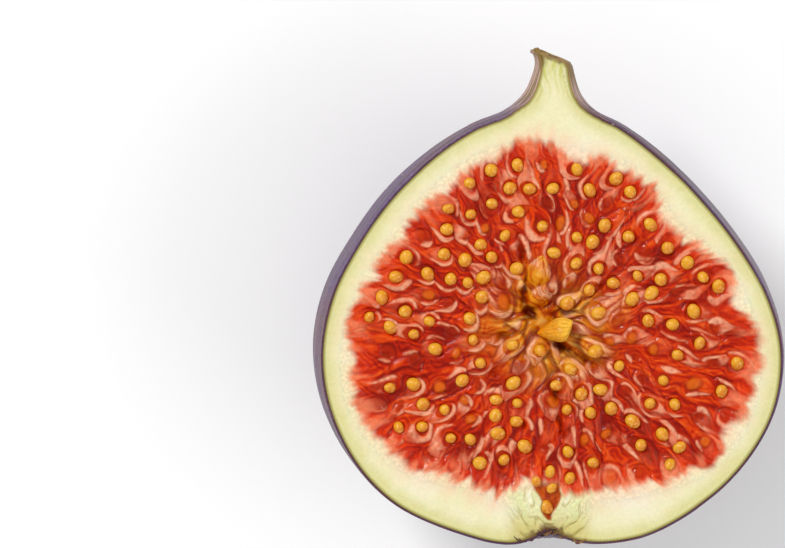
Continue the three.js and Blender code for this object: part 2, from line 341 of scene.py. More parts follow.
# Purple to wine in patches, dark lines from stalk to eye with wax between them, a pale stalk,
# small pale dots, and the dark edge that the cut leaves
def skinMaterial():
    material, nodes, links, shader = startMaterial("waxySkin")
    space = nodes.new("ShaderNodeTexCoord").outputs["Object"]
    along = readAttribute(nodes, "along").outputs["Fac"]
    lip = readAttribute(nodes, "lip").outputs["Fac"]
    streak = nodes.new("ShaderNodeUVMap")
    streak.uv_map = "skinMap"
    stretch = nodes.new("ShaderNodeMapping")
    stretch.inputs["Scale"].default_value = (34, 2.2, 1)
    links.new(streak.outputs["UV"], stretch.inputs["Vector"])
    lines = noiseNode(nodes, links, stretch.outputs["Vector"], 1, 5, 0.62)
    patches = noiseNode(nodes, links, space, 75, 4, 0.6)
    mottle = noiseNode(nodes, links, space, 420, 4, 0.65)
    grain = noiseNode(nodes, links, space, 2600, 2, 0.6)
    wine = rangeNode(nodes, links, patches, 0.40, 0.62)
    colour = mixNode(nodes, links, wine, skin["purple"], skin["wine"])
    colour = mixNode(nodes, links, rangeNode(nodes, links, lines, 0.46, 0.30), colour, skin["night"])
    waxy = rangeNode(nodes, links, lines, 0.40, 0.66)
    waxy = mathNode(nodes, links, "MULTIPLY", waxy, rangeNode(nodes, links, mottle, 0.32, 0.62))
    veil = mathNode(nodes, links, "MULTIPLY", waxy, 0.75)
    colour = mixNode(nodes, links, veil, colour, skin["wax"])
    speckle = rangeNode(nodes, links, grain, 0.54, 0.42, 0, 0.6)
    colour = mixNode(nodes, links, speckle, colour, skin["night"])
    torn = rangeNode(nodes, links, grain, 0.45, 0.6)
    torn = mixNode(nodes, links, torn, skin["night"], skin["cutEdge"])
    nearEye = rangeNode(nodes, links, along, 0.05, 0.015, 0, 0.9)
    colour = mixNode(nodes, links, nearEye, colour, torn)
    bare = rangeNode(nodes, links, along, 0.72, 0.86)
    pale = rangeNode(nodes, links, lines, 0.42, 0.58)
    stalk = mixNode(nodes, links, pale, skin["stalkOlive"], skin["stalkPink"])
    place = nodes.new("ShaderNodeSeparateXYZ")
    links.new(streak.outputs["UV"], place.inputs["Vector"])
    right = rangeNode(nodes, links, place.outputs["X"], 0.55, 0.9, 0, 0.8)
    brown = mathNode(nodes, links, "MULTIPLY", right, rangeNode(nodes, links, along, 0.84, 0.9))
    stalk = mixNode(nodes, links, brown, stalk, skin["stalkOlive"])
    colour = mixNode(nodes, links, bare, colour, stalk)
    cells = nodes.new("ShaderNodeTexVoronoi")
    cells.inputs["Scale"].default_value = 420
    links.new(space, cells.inputs["Vector"])
    chosen = nodes.new("ShaderNodeSeparateColor")
    links.new(cells.outputs["Color"], chosen.inputs["Color"])
    reach = rangeNode(nodes, links, chosen.outputs["Red"], 0.3, 1, 0, 0.085)
    dots = mathNode(nodes, links, "LESS_THAN", cells.outputs["Distance"], reach)
    dots = mathNode(nodes, links, "MULTIPLY", dots, 0.75)
    colour = mixNode(nodes, links, dots, colour, skin["lenticel"])
    edge = mixNode(nodes, links, bare, skin["cutEdge"], skin["stalkEdge"])
    colour = mixNode(nodes, links, lip, colour, edge)
    links.new(colour, shader.inputs["Base Color"])
    links.new(rangeNode(nodes, links, waxy, 0, 1, 0.42, 0.62), shader.inputs["Roughness"])
    shader.inputs["Coat Weight"].default_value = 0.08
    shader.inputs["Coat Roughness"].default_value = 0.35
    height = mathNode(nodes, links, "ADD", lines, mathNode(nodes, links, "MULTIPLY", grain, 0.25))
    links.new(bumpNode(nodes, links, height, 0.5, 0.0003).outputs["Normal"], shader.inputs["Normal"])
    return material


# Grid of the outer skin from the left cut edge round the back to the right one
def skinGrid(t, across):
    left, right = cutAngle(t, -1), cutAngle(t, 1)
    phi = (np.pi - left) + across * (np.pi + left + right)
    outer = skinPoints(t, phi)
    normal = skinNormals(t, phi)
    fold = layeredNoise(phi * 11, t * 5, 21, 3) + 0.6 * layeredNoise(phi * 30, t * 9, 31, 2)
    outer = outer + normal * (skin["wrinkle"] * fold * ease(0, 0.05, t))[..., None]
    return outer, normal, phi


# Both faces of the skin, joined along the cut, at the eye and at the stalk's end
def skinShell():
    rows, columns = skin["rows"], skin["columns"]
    t, across = np.meshgrid(evenPlaces(rows), np.linspace(0, 1, columns), indexing="ij")
    outer, normal, phi = skinGrid(t, across)
    inner = outer - normal * fruit["skinThickness"]
    outer[..., 2] = np.maximum(outer[..., 2], floorLevel)
    inner[..., 2] = np.maximum(inner[..., 2], floorLevel + fruit["skinThickness"])
    for face in (outer, inner):
        face[..., 2] = np.minimum(face[..., 2], 0)
        face[:, [0, -1], 2] = 0
    return t, across, outer, inner


# The shift puts the skin in the middle of its box, with the eye at the box's end and the cut face
# on its top
skinAlong, skinAcross, skinOuter, skinInner = skinShell()
middle = (skinOuter.reshape(-1, 3).min(0) + skinOuter.reshape(-1, 3).max(0)) / 2
shift = (skinLow + skinHigh) / 2 - middle
shift[1] = skinLow[1] - skinOuter[..., 1].min()
shift[2] = skinHigh[2]


# Each row of the mesh is a closed ring, out along the outer face and back along the inner one;
# flat bands close the ends
def makeSkin():
    rows, columns = skinAlong.shape
    ring = np.concatenate([np.arange(columns), rows * columns + np.arange(columns)[::-1]])
    grid = ring[None, :] + np.arange(rows)[:, None] * columns
    near, far = grid[:-1], grid[1:]
    after = lambda block: np.roll(block, -1, axis=1)
    walls = np.stack([near, after(near), after(far), far], -1).reshape(-1, 4)
    bands = []
    for row in (grid[0], grid[-1]):
        front, back = row[:columns], row[columns:][::-1]
        bands.append(np.stack([front[:-1], front[1:], back[1:], back[:-1]], -1))
    points = np.concatenate([skinOuter.reshape(-1, 3), skinInner.reshape(-1, 3)])
    faces = [np.concatenate([walls, bands[0][:, ::-1], bands[1]])]
    piece = makePiece("skin", points, faces, skinMaterial(), "skin", sharpAngle=50)
    paint(piece, "along", np.tile(skinAlong.ravel(), 2))
    paint(piece, "lip", np.repeat([0, 1], rows * columns))
    uv = piece.data.uv_layers.new(name="skinMap")
    spot = np.empty(len(piece.data.loops), int)
    piece.data.loops.foreach_get("vertex_index", spot)
    place = np.tile(np.column_stack([skinAcross.ravel(), skinAlong.ravel()]), (2, 1))
    uv.data.foreach_set("uv", place[spot].ravel())
    return piece


# Distance from the middle to the pulp's edge at each angle
def reachAt(angle):
    degrees = np.degrees(angle) % 360
    bends = smoothCurve(pulpReach, np.linspace(0, 1, 400))
    return np.interp(degrees, bends[:, 0], bends[:, 1])


# Where the pulp's fine mesh ends: a little outside the red, and almost at the skin round the eye
def pulpBorder(angle):
    turn = (np.degrees(angle) % 360 - 270) / 15
    return reachAt(angle) + 0.9 + 2.7 * np.exp(-turn * turn)


# Florets: pods that point at the middle, each with a seed in a socket near its inner end
florets = {
    "count": 142,  # on the spiral, outside the middle
    "innermost": 7.0,
    "rimGap": 2.2,
    "spacing": 3.1,  # least distance between pods
    "width": (1.15, 1.55),
    "hollowWidth": 0.8,  # share of that for pods that show no seed
    "tail": (2.6, 5.2),
    "wall": (0.42, 0.85),  # thickness of the pale crescent beside the seed
    "arcAt": (0.6, 1.9),  # the crescent's middle, as an angle from the pod's inner end
    "arcSpan": (1.0, 1.9),  # half the angle that it covers
    "hollow": 0.24,  # share of pods with an empty hollow
    "covered": 0.15,  # share whose seed stays under the flesh
    "seed": 0.74,  # radius
    "socket": 0.88,  # radius of the dark hollow round the seed
    "offset": 0.30,  # a seed sits off its pod's axis, which leaves the crescent on one side
}

# The middle's own florets: place, direction of the tail in degrees, width, tail, wall, kind
middleFlorets = [
    (-3.2, 9.1, 112, 1.2, 2.6, 0.7, "hollow"), (-1.2, 7.1, 78, 1.5, 2.2, 0.3, "lump"),
    (-2.9, 4.6, 100, 0.8, 1.6, 0.2, "lump"), (-1.0, 3.7, 68, 1.5, 3.0, 0.6, "lump"),
    (2.2, 3.3, 30, 1.2, 2.2, 0.5, "seed"), (5.0, -2.1, -8, 1.4, 2.8, 0.6, "seed"),
    (-3.9, -1.9, 200, 1.35, 2.6, 0.4, "seed"), (-1.1, -3.0, 250, 1.35, 2.4, 0.4, "seed"),
    (2.3, -5.0, 292, 1.35, 3.0, 0.4, "seed"), (-5.1, 3.1, 143, 1.3, 4.4, 0.7, "covered"),
    (-2.9, 0.2, 150, 0.75, 2.0, 0.5, "lump"), (-7.2, -3.4, 215, 1.3, 3.0, 0.4, "seed"),
    (-3.4, -6.1, 240, 1.35, 3.2, 0.55, "seed"), (5.6, -7.4, 300, 1.3, 3.0, 0.5, "seed"),
    (5.6, 2.3, 33, 1.3, 4.6, 0.7, "seed"), (2.7, 7.9, 72, 1.3, 3.0, 0.4, "seed"),
    (-7.2, 6.0, 146, 1.3, 3.6, 0.5, "seed"), (-0.2, -8.6, 268, 1.2, 3.4, 0.5, "covered"),
    (-5.6, -0.7, 178, 0.8, 2.6, 0.5, "hollow"), (1.9, 1.0, 20, 0.7, 2.4, 0.3, "lump"),
    (3.1, -0.3, 0, 0.75, 2.6, 0.4, "hollow"), (0.3, 4.9, 80, 0.8, 2.6, 0.4, "hollow"),
    (4.3, 4.9, 48, 0.85, 3.0, 0.5, "seed"), (-1.2, -5.4, 256, 0.85, 2.6, 0.4, "hollow"),
    (-2.8, -4.2, 236, 0.8, 2.6, 0.3, "hollow"), (0.8, -2.2, 280, 0.7, 2.6, 0.3, "lump"),
    (4.5, -5.0, 315, 0.9, 3.0, 0.5, "hollow"), (7.0, -0.6, -6, 0.9, 3.0, 0.5, "covered"),
    (-5.0, 5.2, 132, 0.9, 3.2, 0.5, "hollow"), (2.2, 5.9, 66, 0.75, 2.6, 0.4, "hollow"),
]


# Spiral spacing: each next floret turns by the golden angle; then near neighbours push each
# other apart, a little at a time, while the middle's own florets stay
def spiralPlaces(random):
    n = np.arange(florets["count"])
    angle = n * np.pi * (3 - np.sqrt(5)) + random.uniform(-0.1, 0.1, len(n))
    outermost = reachAt(angle) - florets["rimGap"]
    hole = (florets["innermost"] / outermost) ** 2
    share = np.sqrt((n + 0.5) / len(n) * (1 - hole) + hole)
    spots = np.stack([np.cos(angle), np.sin(angle)], -1) * (share * outermost)[:, None]
    fixed = np.array([row[:2] for row in middleFlorets])
    spots += random.uniform(-0.45, 0.45, spots.shape)
    for _ in range(40):
        everyone = np.concatenate([spots, fixed])
        apart = spots[:, None] - everyone[None]
        gap = np.linalg.norm(apart, axis=-1)
        np.fill_diagonal(gap, 99)  # no floret pushes itself
        push = np.clip(florets["spacing"] - gap, 0, None) * 0.25
        spots = spots + (apart / gap[..., None] * push[..., None]).sum(1)
        distance = np.linalg.norm(spots, axis=1)
        limit = reachAt(np.arctan2(spots[:, 1], spots[:, 0])) - florets["rimGap"]
        spots *= np.minimum(1, limit / distance)[:, None]
    return spots


# Every floret as one row in a few columns: the spiral's with a form drawn at random, then the
# middle's with the form listed for them
def placeFlorets():
    random = np.random.default_rng(8)
    spots = spiralPlaces(random)
    count, total = len(spots), len(spots) + len(middleFlorets)
    inMiddle = np.arange(total) >= count
    angle = np.arctan2(spots[:, 1], spots[:, 0])
    kinds = random.uniform(0, 1, count)
    kind = np.where(kinds < florets["hollow"], "hollow", "seed")
    kind = np.where(kinds > 1 - florets["covered"], "covered", kind)
    own = list(zip(*middleFlorets))
    join = lambda values, column: np.concatenate([values, own[column]])
    turn = np.concatenate([angle + random.uniform(-0.42, 0.42, count), np.radians(own[2])])
    narrow = np.where(kind == "seed", 1, florets["hollowWidth"])
    return {
        "x": join(spots[:, 0], 0),
        "y": join(spots[:, 1], 1),
        "turn": turn,
        "width": join(random.uniform(*florets["width"], count) * narrow, 3),
        "tail": join(random.uniform(*florets["tail"], count), 4),
        "wall": join(random.uniform(*florets["wall"], count), 5),
        "kind": join(kind, 6),
        "arcAt": random.uniform(*florets["arcAt"], total),
        "arcSpan": random.uniform(*florets["arcSpan"], total),
        "wedge": np.maximum(random.uniform(-0.5, 1.3, total).clip(0, 1), inMiddle),
        "side": np.where(random.uniform(0, 1, total) < 0.72, 1.0, -1.0),
        "bend": random.uniform(-0.06, 0.12, total),
        "tone": random.uniform(0, 1, total),
    }


# The whole pattern is bent by this slow wandering: place in the pattern for a place on the face
def patternPlace(x, y):
    bentX = x + 0.9 * fieldNoise(x / 6.5 + 3, y / 6.5, 45) + 0.3 * fieldNoise(x / 1.9, y / 1.9, 41)
    bentY = y + 0.9 * fieldNoise(x / 6.5, y / 6.5 + 7, 46) + 0.3 * fieldNoise(x / 1.9, y / 1.9, 43)
    return bentX, bentY


# The way back, by a few steps that each take off the error that is left
def facePlace(patternX, patternY):
    x, y = patternX.copy(), patternY.copy()
    for _ in range(12):
        bentX, bentY = patternPlace(x, y)
        x, y = x + patternX - bentX, y + patternY - bentY
    return x, y


places = placeFlorets()


# For each point: distance to the nearest pod's edge (negative inside), how much nearer that is
# than the next one's, distance to the pod's socket, place along and across it, its number, and
# how far the flow lines are pushed aside, as water is by a post
def podFields(x, y):
    patternX, patternY = patternPlace(x, y)
    edge, second, socket = (np.full(x.size, 6.0) for _ in range(3))
    along, across, number = np.zeros(x.size), np.zeros(x.size), np.zeros(x.size, int)
    flow = np.zeros(x.size)
    for n in range(len(places["x"])):
        near = np.flatnonzero((abs(x - places["x"][n]) < 8) & (abs(y - places["y"][n]) < 8))
        dx, dy = patternX[near] - places["x"][n], patternY[near] - places["y"][n]
        cos, sin = math.cos(places["turn"][n]), math.sin(places["turn"][n])
        u = dx * cos + dy * sin
        w = (dy * cos - dx * sin) * places["side"][n]
        squared = u * u + w * w
        away = max(3, math.hypot(places["x"][n], places["y"][n]))
        aside = ease(7, 3, np.sqrt(squared)) * 1.5 * w / (squared + 0.9) * 18 / away
        flow[near] -= places["side"][n] * aside
        w = w - places["bend"][n] * np.maximum(u, 0) ** 2
        width, tail = places["width"][n], places["tail"][n]
        front = (np.hypot(u / 1.12, w) / width - 1) * width
        back = abs(w) - width * (1 - np.abs(u / tail) ** 1.4)
        pod = np.where(u < 0, front, back)
        hole = np.hypot(u, w + florets["offset"]) - florets["socket"]
        closer = pod < edge[near]
        second[near] = np.where(closer, edge[near], np.minimum(second[near], pod))
        found = (edge, pod), (socket, hole), (along, u / tail), (across, w), (number, n)
        for field, value in found:
            field[near] = np.where(closer, value, field[near])
    return edge, second - edge, socket, along, across, number, flow, patternX, patternY


# Depth of the sagging middle and of the clefts: each a groove along its line
def cleftDepth(x, y):
    sag = 0.9 * np.exp(-((np.hypot(x, y) / 4.2) ** 2))
    wobble = 0.22 * fieldNoise(x / 0.9, y / 0.9, 47) + 0.1 * fieldNoise(x / 0.35, y / 0.35, 48)
    groove = np.zeros_like(x)
    for x0, y0, x1, y1, halfWidth, deep in clefts:
        length = math.hypot(x1 - x0, y1 - y0)
        dx, dy = (x1 - x0) / length, (y1 - y0) / length
        run = np.clip((x - x0) * dx + (y - y0) * dy, 0, length)
        off = np.hypot(x - x0 - run * dx, y - y0 - run * dy) + wobble
        taper = 0.4 + 0.6 * np.sin(np.pi * run / length)
        across = np.maximum(off, 0) / (halfWidth * taper)
        groove = np.maximum(groove, deep * taper * np.exp(-(across**2)))
    return sag, groove


# Signed distance to the eye's channel: a wedge that narrows from the pulp to the eye
def channelEdge(x, y):
    share = np.clip((-y - 18.4) / 4.3, 0, 1.2)
    wander = 0.2 * np.sin(y * 2.1) + 0.05
    return np.abs(x - wander) - 1.5 * (1 - share**1.8) + 0.22 * fieldNoise(x / 0.7, y / 0.7, 51)


flesh = {
    "darkRed": tint(136, 14, 0),
    "red": tint(180, 30, 0),
    "orangeRed": tint(210, 58, 0),
    "lightRed": tint(226, 92, 26),
    "pink": tint(204, 84, 42),
    "palePink": tint(236, 170, 134),
    "peach": tint(244, 196, 156),
    "thread": tint(244, 170, 76),
    # socket: painted shade for the hollow round a seed
    "socket": tint(156, 34, 0),
    "seedGlow": tint(206, 92, 14),
    "gold": tint(222, 140, 16),
    "paleGold": tint(240, 198, 96),
    "deepGold": tint(190, 84, 0),
    "burnt": tint(142, 36, 0),
    "rimRed": tint(226, 56, 20),
    "rimPink": tint(238, 132, 92),
    "blush": tint(240, 200, 164),
    "cream": tint(241, 234, 212),
    "straw": tint(233, 227, 184),
    "green": tint(210, 205, 132),
    "paleGreen": tint(212, 216, 150),
    "fibre": tint(190, 192, 96),
    "notch": tint(204, 190, 110),
    "olive": tint(140, 130, 50),
    "bast": tint(158, 138, 52),
    "bark": tint(104, 74, 40),
    "brokenEnd": tint(150, 122, 66),
    "channel": tint(196, 84, 20),
    # painted shade for the clefts and crevices
    "creviceShade": tint(96, 14, 0),
}


# Colour and height of the pulp: pods with crescents, sockets and tails over a streaked red
# ground whose lines flow round the pods, golden in the middle, with painted shade in the sockets and
# crevices
def pulpFace(x, y, distance, pods, flow):
    edge, crease, socket, along, across, number = pods
    inner = ease(11, 4, distance)
    fine = layeredNoise(3 * flow, distance / 3.2, 63, 2)
    broad = layeredNoise(flow, distance / 3.6, 65, 2)
    fibre = fine * (1 - inner) + broad * inner
    fibre += (layeredNoise(x / 0.9, y / 0.9, 68, 2) - fibre) * ease(2.6, 1.2, distance)
    waves = np.cos(2 * np.pi * (edge / 0.7 + 0.8 * fieldNoise(x / 1.3, y / 1.3, 67)))
    ripple = waves * ease(2.2, 0.3, np.abs(edge)) * (1 - 0.7 * inner)
    patch = layeredNoise(x / 3.2, y / 3.2, 69, 2) + 0.6 * inner * layeredNoise(x / 1.1, y / 1.1, 70, 2)
    hair = layeredNoise(6 * flow, distance / 2.6, 72, 2)
    ground = 0.9 * fibre + 0.25 * ripple + 0.35 * patch + 0.4 * hair * (1 - inner)
    strand = np.abs(layeredNoise(2 * flow, distance / 4.5, 85, 2)) + 0.1 * (1 - inner)
    strand = ease(0.14, 0.0, strand) * ease(-0.1, 0.5, layeredNoise(x / 2.1, y / 2.1, 87))
    tone, kind = places["tone"][number], places["kind"][number]
    inside = ease(0.05, -0.12, edge)
    hole = ease(0.08, -0.14, socket) * inside * (kind != "lump")

    # the crescent is thickest in its middle and thins out to both of its ends
    turn = np.arctan2(across, -along * places["tail"][number])
    arc = np.clip(1 - ((turn - places["arcAt"][number]) / places["arcSpan"][number]) ** 2, 0, 1)
    thick = places["wall"][number] * np.sqrt(arc) * (1 + 0.3 * broad)
    crescent = ease(0.06, -0.26, edge) * ease(thick + 0.32, thick - 0.2, -edge) * ease(0, 0.3, arc)
    crescent = crescent * (kind != "lump") * ease(-0.05, 0.12, np.where(kind == "seed", socket, 9))
    wedge = inside * ease(-0.05, 0.3, along) * ease(0.9, 0.3, along) * places["wedge"][number]
    wedge = wedge * ease(-0.6, 0.3, fine + 0.2) * ease(-0.05, 0.15, np.where(kind == "seed", socket, 9))
    wall = np.maximum(crescent, 0.85 * wedge) * ease(-0.75, -0.1, fine + 0.5 * tone)
    wall = wall * (0.86 + 0.2 * fieldNoise(x / 0.35, y / 0.35, 86))
    outline = ease(0.16 + 0.1 * inner, 0.0, np.abs(edge)) * ease(0.0, 0.25, crease)
    seam = ease(0.16, 0.0, crease) * ease(0.4, 0, edge)
    line = np.maximum(outline, seam)

    colour = blend(flesh["darkRed"], flesh["red"], ease(-0.65, -0.05, ground))
    colour = blend(colour, flesh["orangeRed"], ease(-0.05, 0.35, ground))
    colour = blend(colour, flesh["lightRed"], ease(0.35, 0.85, ground) * 0.8)
    wander = 2.6 * layeredNoise(x / 3.0, y / 3.0, 71)
    middle = ease(10.5, 3.5, distance + wander)
    golden = blend(flesh["burnt"], flesh["deepGold"], ease(-0.6, -0.2, ground))
    golden = blend(golden, flesh["gold"], ease(-0.25, 0.1, ground))
    golden = blend(golden, flesh["paleGold"], ease(0.15, 0.6, ground) * 0.9)
    colour = blend(colour, golden, np.maximum(middle * 0.78, (kind == "lump") * inside))
    pallor = np.clip(1.3 * wall - 0.4 + 0.5 * fine + 0.3 * tone, 0, 1)
    pale = blend(flesh["pink"], flesh["palePink"], pallor)
    pale = blend(pale, flesh["peach"], middle * 0.7)
    colour = blend(colour, flesh["thread"], strand * (0.25 + 0.55 * middle))
    colour = blend(colour, pale, wall * 0.92)
    # Painted shade in the hollow round each seed, stronger on one side of the pod
    shaded = 0.5 + 0.5 * ease(-0.5, 0.7, across - 0.4 * along * places["tail"][number])
    colour = blend(colour, flesh["socket"], hole * (0.9 - 0.4 * middle) * (1 - 0.8 * wall) * shaded)
    glow = ease(0.1, -0.3, socket + 0.2) * (kind == "covered") * inside
    colour = blend(colour, flesh["seedGlow"], glow)
    broken = ease(-0.5, 0.5, fieldNoise(x / 0.8, y / 0.8, 88) + 0.8 * middle)
    colour = blend(colour, flesh["darkRed"], line * (0.1 + 0.5 * broken))
    # Painted shade in the crevices between the middle's pods
    crevice = ease(-0.05, 0.12, edge) * ease(0.6, 0.15, edge) * middle * broken
    colour = blend(colour, flesh["creviceShade"], crevice * 0.6)

    dome = ease(0, 1.5, -edge) * (0.3 + 0.6 * inner)
    relief = dome + 0.14 * wall - 0.2 * hole * (kind == "seed") - 0.16 * hole * (kind == "hollow")
    relief = relief + 0.1 * fibre - 0.09 * line + 0.05 * ripple + 0.28 * glow + 0.08 * strand
    relief = relief - 0.2 * crevice + 0.03 * hair * (1 - inner)
    return colour, relief


# Colour and height of the cream rind with the eye and the stalk's core
def rindFace(x, y, rim, comb, fromSkin):
    colour = blend(flesh["cream"], flesh["straw"], ease(-0.5, 0.5, layeredNoise(x / 5, y / 5, 75)))
    blush = ease(-3.4, 0.1, rim + 0.4 * comb) * (0.85 + 0.3 * comb)
    colour = blend(colour, flesh["blush"], np.clip(blush, 0, 1) * 0.85)
    colour = blend(colour, flesh["straw"], ease(4.5, 1.5, fromSkin) * 0.6)
    colour = blend(colour, flesh["green"], ease(2.2, 0.3, fromSkin + 0.4 * comb) * 0.7)

    threads = layeredNoise((x + 0.3 * np.sin(y * 1.3)) / 0.3, y / 2.6, 77, 2)
    core = ease(26.0, 30.5, y)
    colour = blend(colour, flesh["fibre"], core * ease(0.0, 0.5, threads) * 0.75)
    colour = blend(colour, flesh["cream"], core * ease(0.0, -0.5, threads) * 0.6)
    follow = 0.25 * layeredNoise(x / 2.2, y / 2.2, 89)
    beside = ease(0.08, 0, np.abs(fromSkin - 0.6 - follow))
    beside = beside * ease(-0.3, 0.4, layeredNoise(x / 1.2, y / 1.2, 90))
    colour = blend(colour, flesh["bast"], beside * ease(22.0, 26.5, y) * 0.5)

    # creased scales on both sides of the eye's channel
    scaled = ease(5.8, 3.4, np.abs(x)) * ease(-18.2, -19.6, y)
    bowed = np.abs(x) + 0.24 * (y + 19.5) ** 2 / 2 + 0.5 * fieldNoise(x / 1.6, y / 1.6, 78)
    bowed = bowed + 0.35 * fieldNoise(x / 0.8, y / 1.3, 80)
    folds = layeredNoise(bowed / 0.55, y / 2.4, 79, 2)
    crease = ease(0.16, 0.0, np.abs(folds)) * ease(-0.6, 0.2, layeredNoise(x / 0.9, y / 0.9, 82, 2))
    scales = blend(flesh["straw"], flesh["paleGreen"], ease(-0.1, 0.5, folds) * 0.6)
    scales = blend(scales, flesh["cream"], ease(-0.1, -0.5, folds) * 0.6)
    scales = blend(scales, flesh["notch"], ease(-20.6, -23.8, y + 0.6 * folds) * 0.8)
    scales = blend(scales, flesh["bast"], crease * 0.6)
    colour = blend(colour, scales, scaled)
    height = scaled * (0.14 * folds - 0.1 * crease) + 0.05 * core * threads
    return colour, height


# The cut face at any point: height and colour of pulp, rim, rind, eye's channel and clefts, with painted
# shade in the clefts
def cutFace(x, y, fromSkin):
    distance, angle = np.hypot(x, y), np.arctan2(y, x)
    edge, crease, socket, along, across, number, push, patternX, patternY = podFields(x, y)
    flow = 32 * np.arctan2(patternY, patternX) / np.pi + 0.57 * push
    sag, groove = cleftDepth(x, y)
    around = np.stack([np.cos(angle), np.sin(angle)])
    rim = reachAt(angle) - distance
    for share, count, seed in ((0.85, 6, 61), (0.6, 17, 62), (0.2, 47, 64)):
        rim = rim + share * fieldNoise(around[0] * count, around[1] * count, seed)
    comb = layeredNoise(2 * flow, distance / 2.6, 73, 2)
    comb = 0.8 * comb + 0.45 * layeredNoise(5 * flow, distance / 3.2, 74, 2)

    colour, relief = pulpFace(x, y, distance, (edge, crease, socket, along, across, number), flow)
    combed = ease(3.4, 0.8, rim) * (0.35 + 0.65 * ease(-0.3, 0.4, comb))
    rimTone = blend(flesh["rimRed"], flesh["rimPink"], ease(0.0, 0.6, comb + ease(1.4, 0, rim) * 0.6))
    colour = blend(colour, rimTone, combed * 0.75)
    cream, rindHeight = rindFace(x, y, rim, comb, fromSkin)
    colour = blend(colour, cream, ease(0.6, -0.7, rim + 0.8 * comb))

    channel = channelEdge(x, y)
    opened = ease(0.15, -0.2, channel) * ease(-17.6, -18.8, y)
    muddy = blend(flesh["burnt"], flesh["channel"], ease(-0.7, 0.1, layeredNoise(x / 0.7, y / 1.2, 81)))
    colour = blend(colour, muddy, opened)
    rim = np.where(y < -16, np.maximum(rim, 2.2 * opened - 0.6), rim)

    # brown torn edges, at the stalk's broken end and round the eye, and the olive line at the skin
    ragged = 0.3 * layeredNoise(x / 0.5, y / 0.5, 83)
    end = np.minimum(stations[-1][0] - fruit["tipTorn"] - fruit["tipSlant"] * x, fruit["tipTop"]) - y
    torn = np.maximum(ease(0.55, 0.1, end + ragged), ease(1.3, 0.6, np.hypot(x + 1.6, y - 31.6) + ragged))
    scarred = ease(1.0, 0.2, fromSkin + 2 * ragged) * ease(4.2, 1.5, np.abs(x)) * ease(-18, -20, y)
    colour = blend(colour, flesh["olive"], ease(0.42, 0.05, fromSkin) * 0.9)
    colour = blend(colour, flesh["bark"], np.maximum(torn, scarred) * 0.85)

    sink = 0.5 * ease(-0.4, 2.5, rim) + 0.08
    height = relief * ease(-0.2, 2.0, rim) - sink - sag - groove - 0.2 * opened
    height = height + 0.06 * comb * ease(-1.5, 0.5, rim) * ease(3.5, 1, rim)
    height = height + rindHeight * ease(0, -0.5, rim)
    # Painted shade in the clefts
    colour = blend(colour, flesh["creviceShade"], ease(0.25, 1.0, groove) * 0.92)
    return height, colour


farFromSkin = 5.0


# Distance from each point to the nearest of the outline's points, a block at a time
def distanceTo(points, outline):
    blocks = np.array_split(points, max(1, len(points) // 4000))
    nearest = [np.sqrt(((b[:, None] - outline[None]) ** 2).sum(-1).min(1)) for b in blocks]
    return np.concatenate(nearest)


# Rind
rind = {
    "places": 560,  # columns of the mesh along each side
    "tipColumns": 26,  # and across the stalk's end
    "under": 7,  # its rows: under the skin, on the cut face, and in the bowl
    "face": 48,
    "bowl": 5,
    "bowlTurn": 1.4,  # the bowl under the pulp closes in by this angle
    "bowlDepth": 0.96,  # share of the pulp's depth
    "neck": 23.2,  # the stalk starts here
}


# Columns round the cut: up the left edge, across the broken stalk, down the right edge
def rindGrid():
    spots = evenPlaces(rind["places"])
    lift = np.linspace(0, 1, rind["under"])
    thickness = fruit["skinThickness"]
    sides = []
    for side in (-1, 1):
        place, rise = np.meshgrid(spots, lift, indexing="ij")
        angle = cutAngle(place, side)
        start = 1.5 * np.pi
        end = np.pi - angle if side < 0 else 2 * np.pi + angle
        phi = start + (end - start) * rise
        across = np.full(len(spots), 0.0 if side < 0 else 1.0)
        wall = skinPoints(place, phi) - skinNormals(place, phi) * (thickness + 0.02)
        wall[..., 2] = np.clip(wall[..., 2], floorLevel + thickness + 0.02, 0)
        edgeOuter, edgeNormal, _ = skinGrid(place[:, -1], across)
        wall[:, -1] = edgeOuter - edgeNormal * thickness
        wall[:, -1, 2] = 0
        sides.append(wall)
    left, right = sides
    share = np.linspace(0, 1, rind["tipColumns"] + 2)[1:-1, None, None]
    tip = left[-1] + (right[-1] - left[-1]) * share
    return np.concatenate([left, tip, right[::-1]])


under = rindGrid()
outline = under[:, -1, :2]


# Angle of the pulp's border that each column of the cut runs to: straight at the middle, but
# spread out evenly where the columns come down from the stalk
def stalkFan(angle):
    turning = angle % (2 * np.pi)
    order = np.arange(len(turning))
    neck = np.flatnonzero(outline[:, 1] > rind["neck"])
    first, last = neck[0], neck[-1]
    fanned = slice(first, last + 1)
    turning[fanned] = np.interp(order[fanned], [first, last], turning[[first, last]])
    return turning


# Columns of the neck run down inside its curved sides: each goes from its share of the neck's
# width at the top to its share at the pulp
def neckColumns(face, goal, share, columns):
    count = rind["places"]
    sides = []
    for edge in (outline[:count], outline[-count:]):
        upper = edge[edge[:, 1] > 0]
        upper = upper[np.argsort(upper[:, 1])]
        sides.append(lambda y, upper=upper: np.interp(y, upper[:, 1], upper[:, 0]))
    left, right = sides
    shareAcross = lambda x, y: (x - left(y)) / (right(y) - left(y))
    start = np.clip(shareAcross(outline[columns, 0], outline[columns, 1]), 0, 1)
    finish = shareAcross(goal[columns, 0], goal[columns, 1])
    y = face[:, columns, 1]
    across = start + (finish - start) * share[:, :, 0]
    order = np.arange(len(columns))
    near = ease(0, 60, np.minimum(order, order[::-1]))
    x = left(y) + across * (right(y) - left(y))
    face[:, columns, 0] += near * (x - face[:, columns, 0])
    return face


